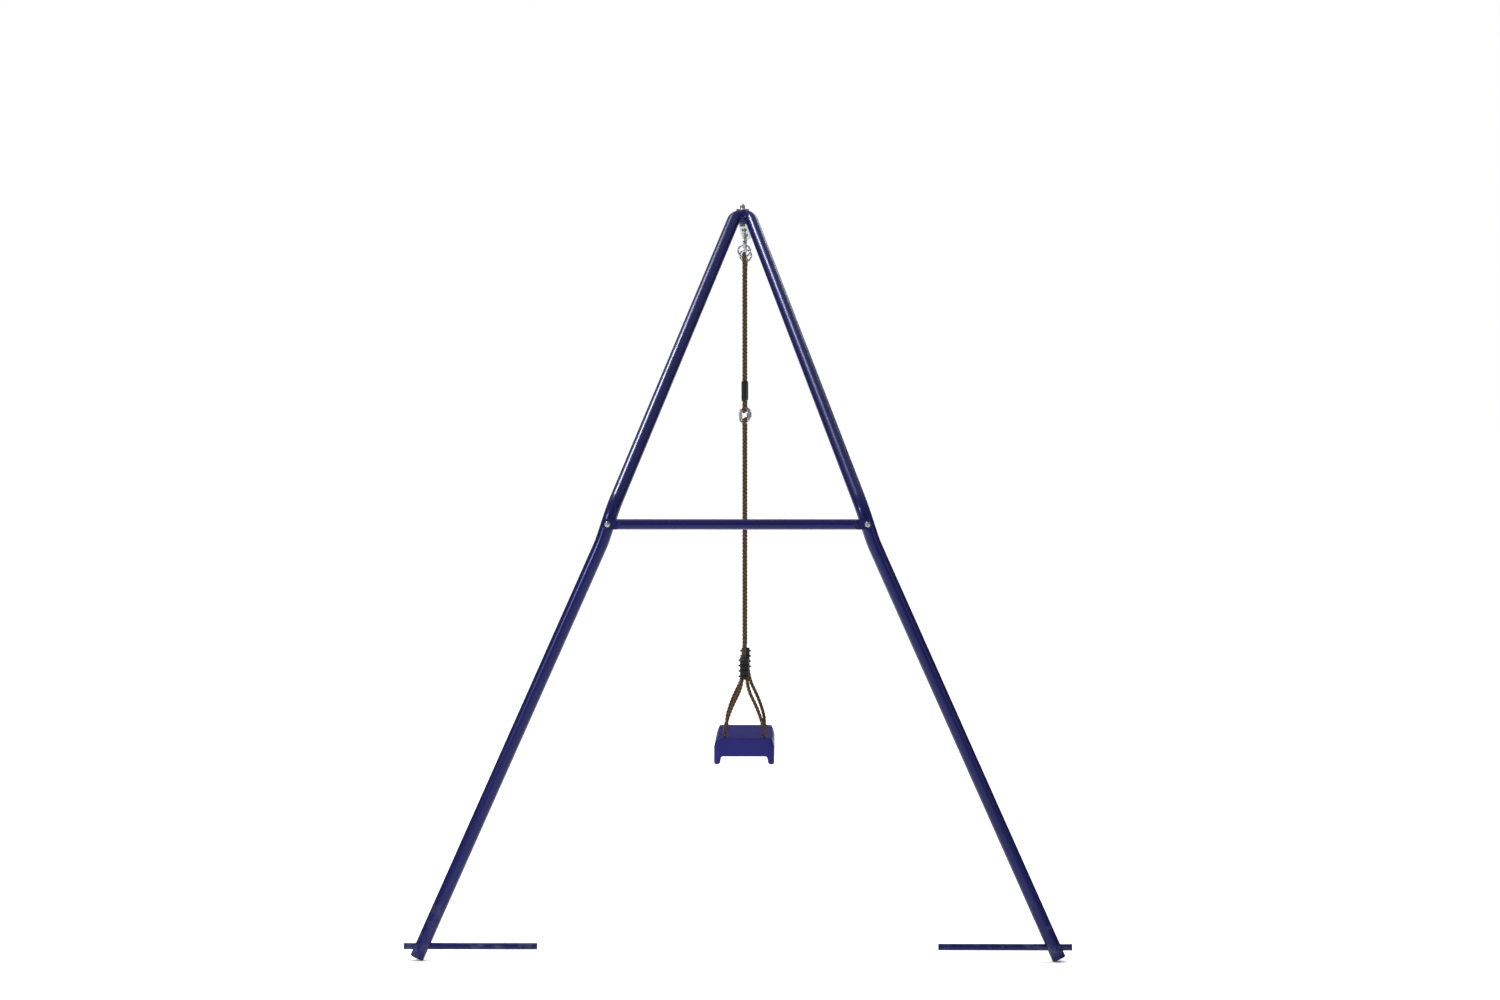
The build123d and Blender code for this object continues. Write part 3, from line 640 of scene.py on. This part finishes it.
class SWING_OT_grips(bpy.types.Operator):
    """Mould the ribbed grips and the crimped sleeves on the ropes"""

    bl_idname = "swing.grips"
    bl_label = "Grips and sleeves"

    def execute(self, context):
        for side in ROPE_Y:
            self.grip(side)
            self.sleeve(side)
        return {"FINISHED"}

    def grip(self, side):
        """Grip with thin fins round both strands."""
        low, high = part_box(f"{side}_clamp")
        centre = (low + high) / 2
        wide, deep = (high - low)[0] / 2, (high - low)[1] / 2
        core_wide, core_deep = GRIP_CORE
        tall = high.z - low.z
        first = -GRIP_FIN_PITCH * (GRIP_FINS - 1) / 2
        levels = [(-tall / 2, 0.7 * core_wide, 0.7 * core_deep), (-tall / 2 + 0.0015, core_wide, core_deep)]
        for k in range(GRIP_FINS):
            z = first + k * GRIP_FIN_PITCH
            levels += [
                (z - 0.0052, core_wide, core_deep),
                (z - 0.0040, core_wide, core_deep),
                (z - 0.0016, 0.90 * wide, 0.88 * deep),
                (z - 0.0009, wide, deep),
                (z + 0.0009, wide, deep),
                (z + 0.0016, 0.90 * wide, 0.88 * deep),
                (z + 0.0040, core_wide, core_deep),
                (z + 0.0052, core_wide, core_deep),
            ]
        levels += [(tall / 2 - 0.0015, core_wide, core_deep), (tall / 2, 0.7 * core_wide, 0.7 * core_deep)]
        grip = drawn_up(f"{side}_ribbed_grip", centre, levels)
        apply_modifier(grip, "SUBSURF", levels=2, render_levels=2)
        bpy.ops.object.shade_smooth()
        dress(grip, "black_sleeve", f"{side}_ropes", f"{side}_clamp")

    def sleeve(self, side):
        """Crimped sleeve that closes the low eye of the upper rope."""
        low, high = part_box(f"{side}_ferrule")
        centre = (low + high) / 2
        wide, deep = (high - low)[0] / 2, (high - low)[1] / 2
        tall = high.z - low.z
        shares = [
            (-0.500, 0.74, 0.74), (-0.492, 0.86, 0.86), (-0.470, 0.93, 0.93), (-0.30, 0.99, 0.99),
            (-0.24, 0.93, 0.97), (-0.18, 0.99, 1.0), (-0.06, 0.93, 0.97), (0.0, 0.99, 1.0),
            (0.06, 0.93, 0.97), (0.18, 0.99, 1.0), (0.24, 0.93, 0.97), (0.30, 0.99, 0.99),
            (0.470, 0.93, 0.93), (0.492, 0.86, 0.86), (0.500, 0.74, 0.74),
        ]
        levels = [(tall * z, wide * x, deep * y) for z, x, y in shares]
        sleeve = drawn_up(f"{side}_crimped_sleeve", centre, levels)
        apply_modifier(sleeve, "SUBSURF", levels=2, render_levels=2)
        bpy.ops.object.shade_smooth()
        dress(sleeve, "black_sleeve", f"{side}_ropes", f"{side}_ferrule")


class SWING_OT_seat(bpy.types.Operator):
    """Mould the flat seat with its deep flanges, end walls, holes and ribs"""

    bl_idname = "swing.seat"
    bl_label = "Seat"

    def execute(self, context):
        low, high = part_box("seat")
        middle = (low + high) / 2
        half = (high.x - low.x) / 2
        seat = self.shell(low, high)
        inner = half - SEAT_FLANGE
        under = high.z - SEAT_PLATE
        cavity = block(
            "cavity",
            (-inner, low.y + SEAT_END_WALL, low.z - CUT_PAST_FLOOR),
            (inner, high.y - SEAT_END_WALL, under),
        )
        pick(cavity, "EDGE", lambda co: abs(co.z - under) < 1e-4)
        bpy.ops.mesh.bevel(offset=SEAT_INNER_ROUND, segments=4, affect="EDGES")
        bpy.ops.object.mode_set(mode="OBJECT")
        cut(seat, cavity)
        window = block(
            "window",
            (-inner, low.y - CUT_PAST_END, low.z - CUT_PAST_FLOOR),
            (inner, high.y + CUT_PAST_END, high.z - SEAT_END_DEPTH),
        )
        pick(window, "VERT", lambda co: co.z < low.z)
        spread = (half - SEAT_LIP + 0.026) / inner
        bpy.ops.transform.resize(value=(spread, 1, 1), center_override=(0, middle.y, 0))
        bpy.ops.mesh.select_all(action="SELECT")
        bpy.ops.mesh.bisect(plane_co=(0, 0, low.z + SEAT_TIP), plane_no=(0, 0, 1))
        pick(window, "VERT", lambda co: abs(co.z - low.z - SEAT_TIP) < 1e-4)
        width = max(abs(v.co.x) for v in window.data.vertices if abs(v.co.z - low.z - SEAT_TIP) < 1e-4)
        bpy.ops.transform.resize(value=((half - SEAT_LIP) / width, 1, 1), center_override=(0, middle.y, 0))
        bpy.ops.object.mode_set(mode="OBJECT")
        cut(seat, window)
        for x in (-SEAT_HOLE_X, SEAT_HOLE_X):
            for y in ROPE_Y.values():
                deselect()
                bpy.ops.mesh.primitive_cylinder_add(
                    vertices=40, radius=SEAT_HOLE_CUT, depth=SEAT_HOLE_DEPTH, location=(x, y, high.z)
                )
                cut(seat, settle(bpy.context.object, "hole"))
        top, foot = under + RIB_SUNK, under - RIB_DEPTH
        for x in (-RIB_SPACING_ACROSS, 0.0, RIB_SPACING_ACROSS):
            ends = low.y + SEAT_END_WALL - RIB_SUNK_END, high.y - SEAT_END_WALL + RIB_SUNK_END
            rib = (x - RIB_HALF, ends[0], foot), (x + RIB_HALF, ends[1], top)
            join_on(seat, block("rib", *rib))
        for k in (-2, -1, 0, 1, 2):
            y = middle.y + k * RIB_SPACING_ALONG
            reach = inner + RIB_SUNK_SIDE
            rib = (-reach, y - RIB_HALF, foot), (reach, y + RIB_HALF, top)
            join_on(seat, block("rib", *rib))
        apply_modifier(seat, "REMESH", mode="VOXEL", voxel_size=context.scene.swing_sizes.seat_voxel)
        apply_modifier(seat, "SMOOTH", factor=0.5, iterations=6)
        bpy.ops.object.shade_smooth()
        dress(seat, "blue_plastic", "seat", "seat")
        return {"FINISHED"}

    def shell(self, low, high):
        """Outer form: drafted above the shoulder, with rounded long edges and corners."""
        seat = block("moulded_seat", low, high)
        half = (high.x - low.x) / 2
        shoulder = high.z - SEAT_SHOULDER
        bpy.ops.object.mode_set(mode="EDIT")
        bpy.ops.mesh.select_all(action="SELECT")
        bpy.ops.mesh.bisect(plane_co=(0, 0, shoulder), plane_no=(0, 0, 1))
        pick(seat, "VERT", lambda co: co.z > high.z - 1e-4)
        bpy.ops.transform.resize(value=((half - SEAT_DRAFT) / half, 1, 1), center_override=(0, 0, high.z))
        for y_end in (low.y, high.y):
            for side in (-1, 1):
                inside = half - SEAT_DRAFT - 1e-3
                pick(seat, "EDGE", lambda co: abs(co.y - y_end) < 1e-4 and side * co.x > inside)
                bpy.ops.mesh.bevel(offset=SEAT_END_CORNER, segments=6, affect="EDGES")
        for side in (-1, 1):
            edge = half - SEAT_DRAFT
            pick(seat, "EDGE", lambda co: co.z > high.z - 1e-4 and side * co.x > edge - 1e-3)
            bpy.ops.mesh.bevel(offset=SEAT_CORNER, segments=8, affect="EDGES")
            pick(seat, "EDGE", lambda co: co.z < low.z + 1e-4 and side * co.x > half - 1e-3)
            bpy.ops.mesh.bevel(offset=SEAT_TIP, segments=4, affect="EDGES")
        bpy.ops.object.mode_set(mode="OBJECT")
        return seat


class SWING_OT_welds(bpy.types.Operator):
    """Lay the rippled weld beads of the beam's two ends"""

    bl_idname = "swing.welds"
    bl_label = "Welds"

    def execute(self, context):
        low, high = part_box("beam_tube")
        tab_low, tab_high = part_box("tower_tab")
        radius = (high.x - low.x) / 2
        centre = Vector((0, low.y, (low.z + high.z) / 2))
        dress(self.ring("clevis_weld", centre, radius), "galvanised_beam", "frame")
        tall = tab_high.z - tab_low.z
        for name, side in (("left_tab_weld", -1), ("right_tab_weld", 1)):
            x = side * (tab_high.x - tab_low.x) / 2
            place = Vector((x, high.y, (tab_low.z + tab_high.z) / 2))
            dress(self.bead(name, place, 0.88 * tall), "galvanised_beam", "frame")
        return {"FINISHED"}

    def bead(self, name, place, tall):
        """Upright bead with a ripple at every run of the torch."""
        steps = round(tall / (2 * RIPPLE)) * 2
        levels = [(-tall / 2 - WELD_RADIUS / 2, WELD_RADIUS / 2, WELD_RADIUS / 2)]
        for k in range(steps + 1):
            thick = WELD_RADIUS * (1 + RIPPLE_HEIGHT * (k % 2))
            levels.append((tall * (k / steps - 0.5), thick, thick))
        levels.append((tall / 2 + WELD_RADIUS / 2, WELD_RADIUS / 2, WELD_RADIUS / 2))
        bead = drawn_up(name, place, levels, 12)
        apply_modifier(bead, "SUBSURF", levels=1, render_levels=1)
        bpy.ops.object.shade_smooth()
        return bead

    def ring(self, name, centre, radius):
        """Rippled bead round the end of the beam."""
        deselect()
        turns = round(math.pi * radius / RIPPLE) * 2
        bpy.ops.mesh.primitive_torus_add(
            major_radius=radius,
            minor_radius=WELD_RADIUS,
            major_segments=turns,
            minor_segments=10,
            location=centre,
            rotation=(math.pi / 2, 0, 0),
        )
        ring = settle(bpy.context.object, name)

        def crest(co):
            turn = math.atan2(co.z - centre.z, co.x) % (2 * math.pi)
            return round(turn * turns / (2 * math.pi)) % 2 == 0

        pick(ring, "VERT", crest)
        bpy.ops.transform.shrink_fatten(value=WELD_RADIUS * RIPPLE_HEIGHT)
        bpy.ops.object.mode_set(mode="OBJECT")
        apply_modifier(ring, "SUBSURF", levels=1, render_levels=1)
        bpy.ops.object.shade_smooth()
        return ring


class SWING_OT_finishes(bpy.types.Operator):
    """Give every carried-over metal and plastic node its finish"""

    bl_idname = "swing.finishes"
    bl_label = "Finishes"

    def execute(self, context):
        colours = context.scene.swing_colours
        for row in frame["record"]["subparts"]:
            node = frame["nodes"][row["node"]]
            material = finish(row["material_slot"], colours)
            if not node.data.materials:
                node.data.materials.append(material)
            for index in range(len(node.data.materials)):
                node.data.materials[index] = material
        return {"FINISHED"}


class SWING_OT_stage(bpy.types.Operator):
    """Set the floor, the soft lights and the view"""

    bl_idname = "swing.stage"
    bl_label = "Stage"

    def execute(self, context):
        scene = context.scene
        deselect()
        bpy.ops.mesh.primitive_plane_add(size=120.0, location=(0, 30, -0.0005))
        floor = bpy.context.object
        floor.name = "floor"
        floor.data.materials.append(plain_floor(scene.swing_colours.floor))
        scene.view_settings.view_transform = "Standard"
        scene.world = self.studio()
        for lamp in LIGHTS:
            self.light(*lamp)
        camera_data = bpy.data.cameras.new("view")
        camera_data.lens = scene.swing_sizes.lens
        camera_data.sensor_width = 36.0
        camera_data.clip_end = 200.0
        camera = bpy.data.objects.new("view", camera_data)
        scene.collection.objects.link(camera)
        yaw, pitch = math.radians(VIEW_YAW), math.radians(VIEW_PITCH)
        look = Vector((-math.sin(yaw) * math.cos(pitch), math.cos(yaw) * math.cos(pitch), -math.sin(pitch)))
        camera.location = VIEW_PLACE
        camera.rotation_euler = look.to_track_quat("-Z", "Y").to_euler()
        scene.camera = camera
        return {"FINISHED"}

    def studio(self):
        """White surround whose light comes from overhead and is dim near the horizon."""
        world = bpy.data.worlds.new("studio")
        world.use_nodes = True
        tree = world.node_tree
        way = tree.nodes.new("ShaderNodeTexCoord").outputs["Generated"]
        upward = add_node(tree, "ShaderNodeSeparateXYZ", links={0: way}).outputs["Z"]
        sky = ranged(tree, upward, 0.10, 1.45, 0.15, 0.65)
        rays = tree.nodes.new("ShaderNodeLightPath").outputs
        dimmed = ranged(tree, rays["Is Glossy Ray"], 1.0, 0.30)
        overhead = add_node(tree, "ShaderNodeMath", links={0: sky, 1: dimmed}, operation="MULTIPLY").outputs[0]
        links = {0: overhead, 1: rays["Is Camera Ray"]}
        strength = add_node(tree, "ShaderNodeMath", links=links, operation="MAXIMUM").outputs[0]
        tree.links.new(strength, tree.nodes["Background"].inputs["Strength"])
        tree.nodes["Background"].inputs["Color"].default_value = (1.0, 1.0, 1.0, 1.0)
        return world

    def light(self, name, place, target, power, size):
        """Square soft light aimed at a point."""
        data = bpy.data.lights.new(name, "AREA")
        data.energy = power
        data.size = size
        lamp = bpy.data.objects.new(name, data)
        bpy.context.scene.collection.objects.link(lamp)
        lamp.location = place
        aim = Vector(target) - Vector(place)
        lamp.rotation_euler = aim.to_track_quat("-Z", "Y").to_euler()


STEPS = (
    SWING_OT_stage,
    SWING_OT_ropes,
    SWING_OT_grips,
    SWING_OT_seat,
    SWING_OT_welds,
    SWING_OT_finishes,
)


class SWING_PT_panel(bpy.types.Panel):
    """Lists the sizes, the colours and the building steps"""

    bl_idname = "SWING_PT_panel"
    bl_label = "Rope Swing"
    bl_space_type = "VIEW_3D"
    bl_region_type = "UI"
    bl_category = "Swing"

    def draw(self, context):
        layout = self.layout
        for group in (context.scene.swing_sizes, context.scene.swing_colours):
            column = layout.column(align=True)
            for key in group.bl_rna.properties.keys():
                if key not in ("name", "rna_type"):
                    column.prop(group, key)
        for step in STEPS:
            layout.operator(step.bl_idname)


CLASSES = (SwingSizes, SwingColours, *STEPS, SWING_PT_panel)


def register():
    """Registers the classes and the scene's settings."""
    for cls in CLASSES:
        bpy.utils.register_class(cls)
    bpy.types.Scene.swing_sizes = PointerProperty(type=SwingSizes)
    bpy.types.Scene.swing_colours = PointerProperty(type=SwingColours)


def unregister():
    """Removes the scene's settings and the classes."""
    del bpy.types.Scene.swing_colours
    del bpy.types.Scene.swing_sizes
    for cls in reversed(CLASSES):
        bpy.utils.unregister_class(cls)


def main():
    """Builds the swing's looks in order."""
    register()
    bpy.ops.swing.stage()
    bpy.ops.swing.ropes()
    bpy.ops.swing.grips()
    bpy.ops.swing.seat()
    bpy.ops.swing.welds()
    bpy.ops.swing.finishes()


if __name__ == "__main__":
    main()
